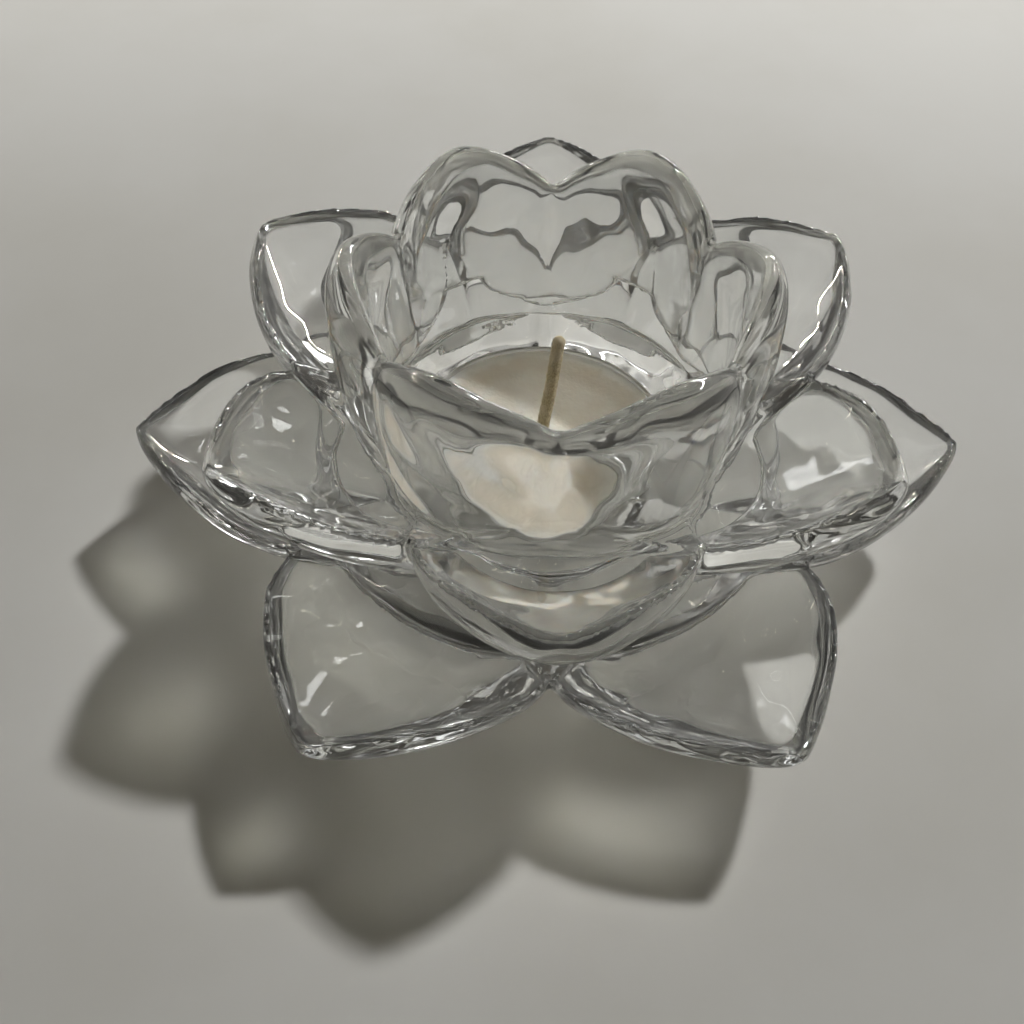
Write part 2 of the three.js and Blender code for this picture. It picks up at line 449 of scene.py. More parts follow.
@dataclass(frozen=True)
class WaxedCotton(Finish):
    """Unburnt braided cotton, stiff with wax: olive-tan strands with darker gaps."""

    name: str = "waxed_cotton"
    strand: Colour = (0.52, 0.43, 0.26, 1.0)
    gap: Colour = (0.24, 0.19, 0.10, 1.0)
    waxed: Colour = (0.62, 0.54, 0.38, 1.0)
    fibre_size: float = 0.12 * MM
    fibre_depth: float = 0.05 * MM
    fibre_range: Pair = (0.34, 0.58)
    fibre_draw: Triple = (1.0, 1.0, 0.22)
    wax_size: float = 3.5 * MM
    wax_range: Pair = (0.45, 0.7)
    wax_strength: float = 0.6
    roughness: float = 0.85
    wax_smoothing: float = 0.3
    sheen: float = 0.25

    def shader(self, graph: Graph) -> bpy.types.Node:
        """Adds the cotton surface.

        Args:
            graph: The material's nodes.

        Returns:
            The shader node.
        """
        where = graph.place()
        drawn = graph.value("ShaderNodeVectorMath", {"operation": "MULTIPLY"}, {0: where, 1: self.fibre_draw})
        fibre = graph.grain(drawn, self.fibre_size, detail=3.0, rough=0.6)
        wax = graph.grain(where, self.wax_size, detail=2.0).ramp(*self.wax_range)
        colour = graph.mix(fibre.ramp(*self.fibre_range), self.gap, self.strand)
        colour = graph.mix(wax * self.wax_strength, colour, self.waxed)
        return graph.add("ShaderNodeBsdfPrincipled", {}, {
            "Base Color": colour,
            "Roughness": self.roughness - wax * self.wax_smoothing,
            "Sheen Weight": self.sheen,
            "Normal": graph.bump(fibre, self.fibre_depth),
        })


@dataclass(frozen=True)
class TinnedSteel(Finish):
    """Thin tinned sheet, drawn in rings by the stamping tool."""

    name: str = "tinned_steel"
    bright: Colour = (0.66, 0.66, 0.64, 1.0)
    dull: Colour = (0.42, 0.41, 0.38, 1.0)
    blotch_size: float = 1.6 * MM
    blotch_range: Pair = (0.35, 0.65)
    roughness: float = 0.24
    blotch_roughness: float = 0.2
    scratch_size: float = 0.15 * MM
    scratch_depth: float = 0.01 * MM

    def shader(self, graph: Graph) -> bpy.types.Node:
        """Adds the metal surface.

        Args:
            graph: The material's nodes.

        Returns:
            The shader node.
        """
        where = graph.place()
        blotch = graph.grain(where, self.blotch_size, detail=4.0, rough=0.6)
        scratch = graph.grain(where, self.scratch_size, detail=2.0)
        return graph.add("ShaderNodeBsdfPrincipled", {}, {
            "Base Color": graph.mix(blotch.ramp(*self.blotch_range), self.dull, self.bright),
            "Metallic": 1.0,
            "Roughness": self.roughness + blotch * self.blotch_roughness,
            "Normal": graph.bump(scratch, self.scratch_depth),
        })


@dataclass(frozen=True)
class StoneTable(Finish):
    """The pale table top that the holder stands on, with faint warm clouds.

    Where it is seen through the glass it has a painted glow in soft patches: an emission that stands in for the
    light that the glass lets through and gathers on it.
    """

    name: str = "stone_table"
    pale: Colour = (0.60, 0.595, 0.565, 1.0)
    warm: Colour = (0.555, 0.545, 0.505, 1.0)
    cloud_size: float = 90 * MM
    cloud_range: Pair = (0.35, 0.7)
    pore_size: float = 1.2 * MM
    # Painted light: glow colours that the table emits only where it is seen through the glass, in place of light
    # that passes the glass.
    painted_glow_seen_through: Colour = (0.05, 0.05, 0.047, 1.0)
    painted_caustic_glow: Colour = (0.09, 0.09, 0.084, 1.0)
    patch_size: float = 9 * MM
    patch_range: Pair = (0.5, 0.7)
    roughness: float = 0.62
    pore_roughness: float = 0.1
    shine: float = 0.25

    def shader(self, graph: Graph) -> bpy.types.Node:
        """Adds the table's surface.

        Args:
            graph: The material's nodes.

        Returns:
            The shader node.
        """
        where = graph.place()
        cloud = graph.grain(where, self.cloud_size, detail=5.0, rough=0.55)
        pore = graph.grain(where, self.pore_size, detail=2.0)
        # Painted light: an emission seen only by rays through the glass, lighter in soft patches, standing in for
        # the light that the glass lets through.
        through = graph.value("ShaderNodeLightPath", {}, {}, "Is Transmission Ray")
        patch = graph.grain(where, self.patch_size, detail=2.0)
        light = graph.mix(patch.ramp(*self.patch_range), self.painted_glow_seen_through, self.painted_caustic_glow)
        return graph.add("ShaderNodeBsdfPrincipled", {}, {
            "Base Color": graph.mix(cloud.ramp(*self.cloud_range), self.pale, self.warm),
            "Emission Color": graph.mix(through, (0.0, 0.0, 0.0, 1.0), light),
            "Emission Strength": 1.0,
            "Roughness": self.roughness + pore * self.pore_roughness,
            "Specular IOR Level": self.shine,
        })


def smooth_min(first: Array, second: Array, reach: float) -> Array:
    """Joins two distance fields with a fillet.

    Args:
        first: Distances to one solid.
        second: Distances to the other.
        reach: How far from the seam the fillet begins.

    Returns:
        Distances to the joined solid.
    """
    near = np.maximum(reach - np.abs(first - second), 0.0) / reach
    return np.minimum(first, second) - near * near * reach / 4


def smooth_max(first: Array, second: Array, reach: float) -> Array:
    """Keeps what lies in both of two distance fields, with a rounded edge between them."""
    return -smooth_min(-first, -second, reach)


def curve_through(points: Sequence[Pair], steps: int) -> Array:
    """A smooth curve through a few points.

    Args:
        points: The points, as (radius, height).
        steps: How many points each stretch gets.

    Returns:
        The curve as an array of (radius, height).
    """
    known = np.array(points)
    padded = np.vstack([2 * known[0] - known[1], known, 2 * known[-1] - known[-2]])
    share = np.linspace(0, 1, steps, endpoint=False)[:, None]
    rows = []
    for a, b, c, d in zip(padded, padded[1:], padded[2:], padded[3:]):
        rows.append(0.5 * (2 * b + (c - a) * share + (2 * a - 5 * b + 4 * c - d) * share**2
                           + (3 * b - a - 3 * c + d) * share**3))
    return np.vstack([*rows, known[-1:]])


def new_piece(name: str, vertices: Array, faces: Array | list[list[int]], finish: Finish) -> bpy.types.Object:
    """Makes a smooth mesh object with one finish.

    Args:
        name: The piece's name.
        vertices: Its points, in metres.
        faces: Its faces, as rows of point numbers.
        finish: Its finish.

    Returns:
        The object, linked to the scene.
    """
    mesh = bpy.data.meshes.new(name)
    rows = faces.tolist() if isinstance(faces, np.ndarray) else faces
    mesh.from_pydata(vertices.tolist(), [], rows)
    mesh.shade_smooth()
    mesh.materials.append(finish.material())
    piece = bpy.data.objects.new(name, mesh)
    bpy.context.scene.collection.objects.link(piece)
    return piece


def dress(piece: bpy.types.Object, body: Body, node: str) -> None:
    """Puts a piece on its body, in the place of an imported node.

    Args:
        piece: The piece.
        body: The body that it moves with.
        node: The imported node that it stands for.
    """
    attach(piece, body.value)
    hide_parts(node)
    LOG.info("%s: %d faces, rides on %s, stands for %s", piece.name, len(piece.data.polygons), body.value, node)


@dataclass(frozen=True)
class PetalShape:
    """One petal, drawn along a curved spine in the plane of radius and height.

    Each section across the spine is a crescent: cupping lifts its edges towards the flower's middle, its face lies
    above the spine and its keel below.
    """

    root: Pair
    bow: Pair
    tip: Pair
    half_width: float
    cupping: float
    face: float
    keel_root: float
    keel_tip: float
    shoulder: float
    fullness: float
    closing: float
    edge: float
    tip_rounding: float
    directions: Pair
    valley: float
    cupping_fade: float = 2.5
    least: float = 0.05 * MM
    outer_lift: float = 2.0
    far: float = 5 * MM
    search_rounds: int = 5
    spine_steps: int = 400

    def spine(self, share: Array) -> tuple[Array, Array]:
        """Points and directions along the spine.

        Args:
            share: The curve's own parameter, from 0 at the root to 1 at the tip.

        Returns:
            The points and the curve's derivative there, each with a last axis of (radius, height).
        """
        root, bow, tip = (np.array(p) for p in (self.root, self.bow, self.tip))
        at = share[..., None]
        first, second = 2 * (bow - root), root - 2 * bow + tip
        return root + at * first + at * at * second, first + 2 * at * second

    def nearest(self, radius: Array, height: Array) -> Array:
        """The spine parameter nearest to each point.

        Args:
            radius: The points' places along the petal's direction.
            height: The points' heights.

        Returns:
            The parameter, from 0 to 1.
        """
        root, bow, tip = (np.array(p) for p in (self.root, self.bow, self.tip))
        point = np.stack([radius, height], axis=-1)
        chord = tip - root
        share = np.clip(((point - root) @ chord) / (chord @ chord), 0, 1)
        bend = 2 * (root - 2 * bow + tip)
        for _ in range(self.search_rounds):
            centre, speed = self.spine(share)
            away = centre - point
            square = (speed * speed).sum(-1)
            fall = np.maximum(square + away @ bend, square / 4)
            share = np.clip(share - (away * speed).sum(-1) / fall, 0, 1)
        return share

    def length_share(self, share: Array) -> Array:
        """How far along the spine's length a parameter lies, from 0 to 1."""
        known = np.linspace(0, 1, self.spine_steps)
        points = self.spine(known)[0]
        steps = np.linalg.norm(np.diff(points, axis=0), axis=1)
        length = np.concatenate([[0], np.cumsum(steps)])
        return np.interp(share, known, length / length[-1])

    def distance(self, radius: Array, side: Array, height: Array) -> Array:
        """About how far points lie from the petal, less than 0 inside it.

        Args:
            radius: The points' places along the petal's direction.
            side: Their places across it.
            height: Their heights.

        Returns:
            The distances, in metres, or just the far limit where the petal is out of reach.
        """
        near = (radius > self.root[0] - self.far) & (radius < self.tip[0] + self.far)
        near &= np.abs(side) < self.half_width + self.far
        near &= (height > self.root[1] - self.keel_root - self.far)
        near &= (height < self.tip[1] + self.cupping + self.face + self.far)
        found = np.full(radius.shape, self.far)
        found[near] = self.near_distance(radius[near], side[near], height[near])
        return found

    def near_distance(self, radius: Array, side: Array, height: Array) -> Array:
        """The distance of points that are within reach of the petal.

        Args:
            radius: The points' places along the petal's direction.
            side: Their places across it.
            height: Their heights.

        Returns:
            The distances, in metres.
        """
        share = self.nearest(radius, height)
        centre, speed = self.spine(share)
        speed /= np.linalg.norm(speed, axis=-1, keepdims=True)
        away = np.stack([radius, height], axis=-1) - centre
        rise = away[..., 1] * speed[..., 0] - away[..., 0] * speed[..., 1]
        overrun = np.abs((away * speed).sum(-1))
        along = self.length_share(share)
        past = np.maximum(0, (along - self.shoulder) / (1 - self.shoulder))
        closed = np.maximum(1 - past**self.fullness, 0)
        width = np.maximum(self.half_width * closed**self.closing, self.least)
        rounding = np.sqrt(np.maximum(1 - past**self.tip_rounding, 0))
        keel = self.keel_tip + (self.keel_root - self.keel_tip) * (1 - along) ** 2
        across = side / width
        curl = self.cupping * (1 - past**self.cupping_fade)
        lift = rise - curl * np.minimum(across * across, self.outer_lift)
        depth = np.maximum(np.where(lift > 0, self.face, keel) * rounding, self.least)
        wide, deep = np.abs(across), np.abs(lift) / depth
        whole = np.maximum((wide**self.edge + deep**self.edge) ** (1 / self.edge), 1e-6)
        by_wide = (wide / whole) ** (self.edge - 1) / width
        by_deep = (deep / whole) ** (self.edge - 1) / depth
        slope = np.hypot(by_wide + by_deep * 2 * curl * np.minimum(wide, 1) / width, by_deep)
        flat = (whole - 1) / slope
        return np.where(overrun > 1e-9, np.hypot(np.maximum(flat, 0), overrun), flat)


@dataclass
class GlassLotus:
    """The pressed-glass flower: body, three tiers of petals and the candle's well."""

    petals_per_tier: int = 6
    well_mouth: float = 20.8 * MM
    well_draft: float = 0.9 * MM
    well_floor: float = 5.0 * MM
    well_corner: float = 3.6 * MM
    wall_radius: float = 23.0 * MM
    flare_top: float = 30.0 * MM
    mouth_height: float = 41.0 * MM
    mouth_lean: float = 0.336
    mouth_crease: float = 0.3 * MM
    rim_rounding: float = 1.2 * MM
    foot_rounding: float = 2.4 * MM
    body_points: tuple[Pair, ...] = ((27.0, 0.0), (29.0, 5.0), (36.0, 15.0), (23.3, 25.0))
    tier_fillet: float = 0.9 * MM
    grid_step: float = 0.65 * MM
    margin: float = 2.0 * MM
    relax_rounds: int = 3
    least_slope: float = 0.05
    ripple_depth: float = 0.07 * MM
    ripple_length: Pair = (5 * MM, 16 * MM)
    ripple_waves: int = 16
    ripple_seed: int = 7
    finish: Finish = field(default_factory=PressedGlass)
    candle_rim: float = field(init=False)

    def __post_init__(self) -> None:
        """Reads the height of the candle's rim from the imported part."""
        self.candle_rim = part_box("candle_cup")[1].z

    def tiers(self) -> tuple[PetalShape, ...]:
        """The three petal shapes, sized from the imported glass.

        Returns:
            The lower, middle and inner petals.
        """
        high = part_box("glass_lotus")[1]
        step = 360 / self.petals_per_tier
        straight, between = (0.0, step), (step / 2, -step / 2)
        lower_tip, peak = high.x, high.z
        middle_tip = 50.8 * MM
        root = self.well_mouth
        bulge = self.wall_radius + 8.4 * MM
        lower = PetalShape(
            root=(root, 9 * MM), bow=((root + lower_tip) / 2, 10 * MM), tip=(lower_tip, 20 * MM),
            half_width=21 * MM, cupping=5.6 * MM, face=0.9 * MM, keel_root=7.5 * MM, keel_tip=4.6 * MM,
            shoulder=0.4, fullness=2.0, closing=0.9, edge=2.8, tip_rounding=6.0,
            directions=straight, valley=1.3 * MM,
        )
        middle = PetalShape(
            root=(root, 21 * MM), bow=((root + middle_tip) / 2, 24.5 * MM), tip=(middle_tip, 39 * MM),
            half_width=18.4 * MM, cupping=6.4 * MM, face=0.9 * MM, keel_root=12 * MM, keel_tip=4.6 * MM,
            shoulder=0.36, fullness=2.5, closing=0.82, edge=2.8, tip_rounding=6.0,
            directions=between, valley=1.3 * MM,
        )
        inner = PetalShape(
            root=(self.wall_radius, self.candle_rim - 6 * MM), bow=(bulge, (self.candle_rim + peak) / 2),
            tip=(self.wall_radius + 4.6 * MM, peak),
            half_width=14.8 * MM, cupping=7.0 * MM, face=3.6 * MM, keel_root=2.6 * MM, keel_tip=2.6 * MM,
            shoulder=0.6, fullness=3.0, closing=0.72, edge=2.6, tip_rounding=5.0,
            directions=straight, valley=1.2 * MM,
        )
        return lower, middle, inner

    def body_distance(self, radius: Array, height: Array) -> Array:
        """About how far points lie from the turned body.

        Args:
            radius: Their distances from the axis.
            height: Their heights.

        Returns:
            The distances, in metres.
        """
        outline = curve_through(self.body_points, steps=60) * MM
        slope = np.gradient(outline[:, 0], outline[:, 1])
        wall = np.interp(height, outline[:, 1], outline[:, 0])
        lean = np.interp(height, outline[:, 1], slope)
        side = (radius - wall) / np.hypot(1, lean)
        ends = np.maximum(-height, height - outline[-1, 1])
        return smooth_max(side, ends, self.foot_rounding)

    def well_distance(self, radius: Array, height: Array) -> Array:
        """About how far points lie from the open space: the round well and the leaning mouth above it.

        Args:
            radius: Their distances from the axis.
            height: Their heights.

        Returns:
            The distances, in metres, less than 0 in the open space.
        """
        deep = np.clip((height - self.well_floor) / (self.candle_rim - self.well_floor), 0, 1)
        flare = np.clip((height - self.candle_rim) / (self.flare_top - self.candle_rim), 0, 1)
        wall = self.well_mouth - self.well_draft * (1 - deep)
        wall += (self.wall_radius - self.well_mouth) * flare * (2 - flare)
        leaning = self.wall_radius + self.mouth_lean * (height - self.mouth_height)
        mouth = (radius - leaning) / math.hypot(1, self.mouth_lean)
        space = smooth_min(radius - wall, mouth, self.mouth_crease)
        return smooth_max(space, self.well_floor - height, self.well_corner)

    def ripple(self, points: Array) -> Array:
        """The slight unevenness of pressed glass, as a sum of slow waves in set directions.

        Args:
            points: The points at which it is read.

        Returns:
            How far the surface lies from its true form.
        """
        draw = np.random.default_rng(self.ripple_seed)
        total = np.zeros(len(points))
        for _ in range(self.ripple_waves):
            way = draw.normal(size=3)
            wave = draw.uniform(*self.ripple_length)
            phase = draw.uniform(0, 2 * math.pi)
            total += np.sin(points @ (way / np.linalg.norm(way)) * (2 * math.pi / wave) + phase)
        return total * self.ripple_depth / math.sqrt(self.ripple_waves)

    def distance(self, points: Array) -> Array:
        """About how far points lie from the glass, less than 0 inside it.

        Args:
            points: The points, in metres.

        Returns:
            The distances, in metres.
        """
        radius = np.hypot(points[:, 0], points[:, 1])
        height = points[:, 2]
        step = 2 * math.pi / self.petals_per_tier
        angle = np.arctan2(points[:, 1], points[:, 0])
        folded = np.abs((angle + step / 2) % step - step / 2)
        solid = self.body_distance(radius, height)
        for petal in self.tiers():
            pair = []
            for direction in petal.directions:
                turned = folded - math.radians(direction)
                pair.append(petal.distance(radius * np.cos(turned), radius * np.sin(turned), height))
            tier = smooth_min(pair[0], pair[1], petal.valley)
            solid = smooth_min(solid, tier, self.tier_fillet)
        solid = smooth_max(solid, -self.well_distance(radius, height), self.rim_rounding)
        return smooth_max(solid + self.ripple(points), -height, self.foot_rounding / 4)

    def slope(self, points: Array) -> Array:
        """The distance field's slope at points, by differences."""
        step = 0.01 * MM
        here = self.distance(points)
        columns = [(self.distance(points + axis) - here) / step for axis in np.eye(3) * step]
        return np.stack(columns, axis=-1)

    def build(self) -> bpy.types.Object:
        """Makes the glass flower.

        Returns:
            The piece, riding on its body.
        """
        low, high = (np.array(corner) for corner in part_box("glass_lotus"))
        net = SurfaceNet(self.distance, low - self.margin, high + self.margin, self.grid_step)
        vertices, faces = net.make()
        for _ in range(self.relax_rounds):
            vertices = self.onto_surface(net.relaxed(vertices, faces))
        piece = new_piece("lotus_glass", self.onto_surface(vertices), faces, self.finish)
        dress(piece, Body.HOLDER, "glass_lotus")
        return piece

    def onto_surface(self, vertices: Array) -> Array:
        """Moves points along the field's slope on to the glass surface.

        Args:
            vertices: Points near the surface.

        Returns:
            The moved points.
        """
        slope = self.slope(vertices)
        square = np.maximum((slope * slope).sum(-1), self.least_slope)
        move = np.clip(self.distance(vertices) / square, -self.grid_step, self.grid_step)
        return vertices - slope * move[:, None]


@dataclass
class SurfaceNet:
    """Draws the zero surface of a distance field as an even net of four-sided faces."""

    distance: Callable[[Array], Array]
    low: Array
    high: Array
    step: float
    block: int = 3
    reach: float = 1.5

    def sampled(self) -> Array:
        """The field on the grid, worked out point by point only in the blocks that lie near the surface.

        Returns:
            The field at every grid point; far from the surface, that of its block's middle.
        """
        width = self.block * self.step
        counts = np.ceil((self.high - self.low) / width).astype(int)
        blocks = np.stack(np.meshgrid(*(np.arange(n) for n in counts), indexing="ij"), axis=-1)
        middles = self.low + blocks * width + (width - self.step) / 2
        values = self.distance(middles.reshape(-1, 3)).reshape(counts)
        for axis in range(3):
            values = values.repeat(self.block, axis)
        near = np.abs(values) < self.reach * width
        values[near] = self.distance(self.low + np.argwhere(near) * self.step)
        return values

    def make(self) -> tuple[Array, Array]:
        """Places one point in each grid cell that the surface crosses.

        Returns:
            The points, and the faces as rows of four point numbers.
        """
        field_values = self.sampled()
        inside = field_values < 0
        corners = np.array([(i, j, k) for i in (0, 1) for j in (0, 1) for k in (0, 1)])
        sizes = np.array(inside.shape) - 1
        count = np.zeros(sizes, int)
        for i, j, k in corners:
            count += inside[i:i + sizes[0], j:j + sizes[1], k:k + sizes[2]]
        cells = np.argwhere((count > 0) & (count < len(corners)))
        numbers = np.full(sizes, -1)
        numbers[tuple(cells.T)] = np.arange(len(cells))
        return self._points(cells, corners, field_values), self._faces(inside, numbers)

    def _points(self, cells: Array, corners: Array, values: Array) -> Array:
        """The middle of the surface's crossings in each cell.

        Args:
            cells: The grid cells that the surface crosses.
            corners: The eight corners of a cell.
            values: The field on the grid.

        Returns:
            One point for each cell.
        """
        at = values[tuple((cells[:, None, :] + corners[None]).transpose(2, 0, 1))]
        total = np.zeros((len(cells), 3))
        crossings = np.zeros(len(cells))
        for a, first in enumerate(corners):
            for b, second in enumerate(corners):
                if b <= a or np.abs(first - second).sum() != 1:
                    continue
                crosses = (at[:, a] < 0) != (at[:, b] < 0)
                share = np.where(crosses, at[:, a] / np.where(crosses, at[:, a] - at[:, b], 1), 0)
                total += np.where(crosses[:, None], first + share[:, None] * (second - first), 0)
                crossings += crosses
        return self.low + (cells + total / crossings[:, None]) * self.step

    def _faces(self, inside: Array, numbers: Array) -> Array:
        """One face for each grid edge that the surface crosses.

        Args:
            inside: Where the field is inside the solid.
            numbers: Each cell's point number, or -1.

        Returns:
            The faces, turned to look out of the solid.
        """
        faces = []
        for axis in range(3):
            first = np.moveaxis(inside, axis, 0)
            net = np.moveaxis(numbers, axis, 0)
            leaving = first[:-1] & ~first[1:]
            entering = ~first[:-1] & first[1:]
            for crossing, outward in ((leaving, True), (entering, False)):
                i, j, k = np.argwhere(crossing[:, 1:-1, 1:-1]).T
                ring = np.stack([net[i, j, k], net[i, j + 1, k], net[i, j + 1, k + 1], net[i, j, k + 1]], axis=1)
                flip = outward == (axis == 1)
                faces.append(ring[:, ::-1] if flip else ring)
        return np.vstack(faces)

    def relaxed(self, vertices: Array, faces: Array) -> Array:
        """Moves each point half way to the middle of its neighbours, for even faces.

        Args:
            vertices: The points.
            faces: The faces that join them.

        Returns:
            The moved points.
        """
        total = np.zeros_like(vertices)
        count = np.zeros(len(vertices))
        for a, b in ((0, 1), (1, 2), (2, 3), (3, 0)):
            for one, other in ((faces[:, a], faces[:, b]), (faces[:, b], faces[:, a])):
                for axis in range(3):
                    total[:, axis] += np.bincount(one, vertices[other, axis], len(vertices))
                count += np.bincount(one, minlength=len(vertices))
        return (vertices + total / count[:, None]) / 2


def turned(profile: Array, sides: int, centre: Triple) -> tuple[Array, list[list[int]]]:
    """Turns a closed profile about an upright axis.

    Args:
        profile: The profile as (radius, height) rows; rows of radius 0 become one point each.
        sides: How many steps go round.
        centre: The axis's place.

    Returns:
        The points and the faces.
    """
    angles = np.linspace(0, 2 * math.pi, sides, endpoint=False)
    points: list[Triple] = []
    rings: list[list[int]] = []
    for radius, height in profile:
        if radius < 1e-7:
            rings.append([len(points)] * sides)
            points.append((0.0, 0.0, height))
            continue
        rings.append(list(range(len(points), len(points) + sides)))
        points.extend((radius * math.cos(a), radius * math.sin(a), height) for a in angles)
    faces = []
    closed = profile[0][0] > 1e-7
    pairs = list(zip(rings, rings[1:])) + ([(rings[-1], rings[0])] if closed else [])
    for lower, upper in pairs:
        for i in range(sides):
            j = (i + 1) % sides
            face = [lower[i], lower[j], upper[j], upper[i]]
            faces.append(list(dict.fromkeys(face)))
    return np.array(points) + np.array(centre), faces


def quarter_round(centre: Pair, radius: float, start: float, end: float, steps: int = 8) -> Array:
    """Points on an arc of a profile.

    Args:
        centre: The arc's centre, as (radius, height).
        radius: Its size.
        start: Where it starts, in degrees.
        end: Where it ends.
        steps: How many steps it has.

    Returns:
        The points.
    """
    angles = np.radians(np.linspace(start, end, steps + 1))
    return np.stack([centre[0] + radius * np.cos(angles), centre[1] + radius * np.sin(angles)], axis=1)


@dataclass
class CupCandle:
    """The loose candle: a thin clear cup, its wax, the braided wick and the wick's steel tab."""

    wall: float = 0.6 * MM
    draft: float = 1.0 * MM
    corner: float = 1.6 * MM
    gap: float = 0.3 * MM
    wall_gap: float = 0.14 * MM
    disc_radius: float = 13.5 * MM
    disc_drop: float = 0.35 * MM
    meniscus: float = 0.5 * MM
    mound: float = 2.4 * MM
    mound_height: float = 0.9
    wax_lip: float = 0.15 * MM
    wax_unevenness: float = 0.12 * MM
    wax_wave: float = 4 * MM
    wax_wall_rings: int = 12
    wax_top_rings: int = 64
    wick_radius: float = 1.0 * MM
    wick_strands: int = 4
    wick_lay: float = 5.0 * MM
    wick_rings: int = 120
    wick_sides: int = 40
    wick_waist: float = 0.82
    wick_relief: float = 0.16
    wick_relief_power: float = 0.6
    wick_end: float = 0.025
    wick_end_least: float = 0.12
    wick_top_gap: float = 0.3 * MM
    wick_bend: float = 0.35
    wick_sway: float = 0.25 * MM
    wick_sway_turns: float = 1.6
    tab_sheet: float = 0.35 * MM
    tab_fillet: float = 0.5 * MM
    tab_steps: int = 6
    sides: int = 144
    centre: Triple = field(init=False)
    base: float = field(init=False)
    rim: float = field(init=False)
    radius: float = field(init=False)

    def __post_init__(self) -> None:
        """Reads the cup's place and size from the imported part."""
        low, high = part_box("candle_cup")
        self.centre = ((low.x + high.x) / 2, (low.y + high.y) / 2, 0.0)
        self.base, self.rim = low.z, high.z
        self.radius = (high.x - low.x) / 2

    def build(self) -> None:
        """Makes all of the candle's pieces."""
        self.build_cup()
        self.build_wax()
        self.build_wick()
        self.build_tab()

    def build_cup(self) -> None:
        """Makes the clear cup, a drawn shell with a rounded lip."""
        foot = self.radius - self.draft
        middle = (foot - self.corner, self.base + self.corner)
        outer = quarter_round(middle, self.corner, -90, 0)
        inner = quarter_round(middle, self.corner - self.wall, 0, -90)
        lip = quarter_round((self.radius - self.wall / 2, self.rim - self.wall / 2), self.wall / 2, 0, 180)
        axis = np.array([[0.0, self.base]])
        inside_axis = np.array([[0.0, self.base + self.wall]])
        profile = np.vstack([axis, outer, lip, inner, inside_axis])
        piece = new_piece("cup_shell", *turned(profile, self.sides, self.centre), ClearCup())
        dress(piece, Body.CUP, "candle_cup")

    def inside_radius(self, height: float) -> float:
        """The wax's radius at a height, a gap clear of the cup."""
        slope = self.draft / (self.rim - self.base)
        return self.radius - self.wall - self.wall_gap - (self.rim - height) * slope

    def build_wax(self) -> None:
        """Makes the wax with its sunken disc, its climbing edge and an uneven top."""
        low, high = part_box("wax_fill")
        tab_low, tab_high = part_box("wick_sustainer")
        tab = (tab_high.x - tab_low.x) / 2 + self.gap
        bore = self.wick_radius + self.gap
        neck = bore + self.tab_sheet + self.gap
        tab_top = low.z + self.tab_sheet + self.gap
        neck_top = tab_high.z + self.gap
        shelf = high.z - self.meniscus / 2
        edge = self.inside_radius(high.z)
        chamfer = self.corner
        under = np.array([
            (tab, tab_top), (tab, low.z), (self.inside_radius(low.z) - chamfer, low.z),
            (self.inside_radius(low.z + chamfer), low.z + chamfer),
        ])
        wall_heights = np.linspace(low.z + chamfer, high.z, self.wax_wall_rings)[1:]
        wall = np.array([(self.inside_radius(h), h) for h in wall_heights])
        reach = np.linspace(edge - self.wax_lip, bore, self.wax_top_rings)
        top = np.array([(r, self.top_height(r, edge, bore, shelf, high.z)) for r in reach])
        hole = np.array([(bore, neck_top), (neck, neck_top), (neck, tab_top)])
        profile = np.vstack([under, wall, top, hole])
        vertices, faces = turned(profile, self.sides, self.centre)
        lifted = vertices[:, 2] > high.z - 2 * self.meniscus
        radius = np.hypot(vertices[:, 0] - self.centre[0], vertices[:, 1])
        free = lifted & (radius < edge - self.meniscus) & (radius > bore + self.gap)
        for i in np.flatnonzero(free):
            vertices[i, 2] += self.wax_unevenness * noise.noise(Vector(vertices[i]) / self.wax_wave)
        piece = new_piece("wax_body", vertices, faces, CandleWax(centre=self.centre))
        dress(piece, Body.CANDLE, "wax_fill")

    def top_height(self, radius: float, edge: float, bore: float, shelf: float, crest: float) -> float:
        """The height of the wax's top at a distance from the wick.

        Args:
            radius: The distance from the wick.
            edge: The wax's own radius there.
            bore: The radius of the wick's hole.
            shelf: The height of the ring outside the sunken disc.
            crest: The greatest height.

        Returns:
            The height.
        """
        climb = math.exp(-(edge - radius) / self.meniscus)
        mound = math.exp(-((radius - bore) / self.mound) ** 2)
        sunk = 1 / (1 + math.exp((radius - self.disc_radius) / self.meniscus))
        plain = shelf - self.disc_drop * sunk
        return plain + (crest - plain) * max(climb, mound * self.mound_height)

    def wick_line(self, share: Array) -> Array:
        """The wick's middle line, straight in the wax and leaning above it.

        Args:
            share: Places along the wick, from 0 to 1.

        Returns:
            The points.
        """
        low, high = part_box("wick")
        wax_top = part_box("wax_fill")[1].z
        lean_right = high.x - self.centre[0] - self.wick_radius
        lean_back = high.y - self.wick_radius
        height = low.z + (high.z - low.z - self.wick_top_gap) * share
        free = np.clip((height - wax_top) / (high.z - wax_top), 0, 1)
        lean = free * (self.wick_bend * free + (1 - self.wick_bend))
        sway = self.wick_sway * np.sin(free * math.pi * self.wick_sway_turns) * free
        x = self.centre[0] + lean_right * lean + sway
        return np.stack([x, lean_back * lean - sway / 2, height], axis=1)

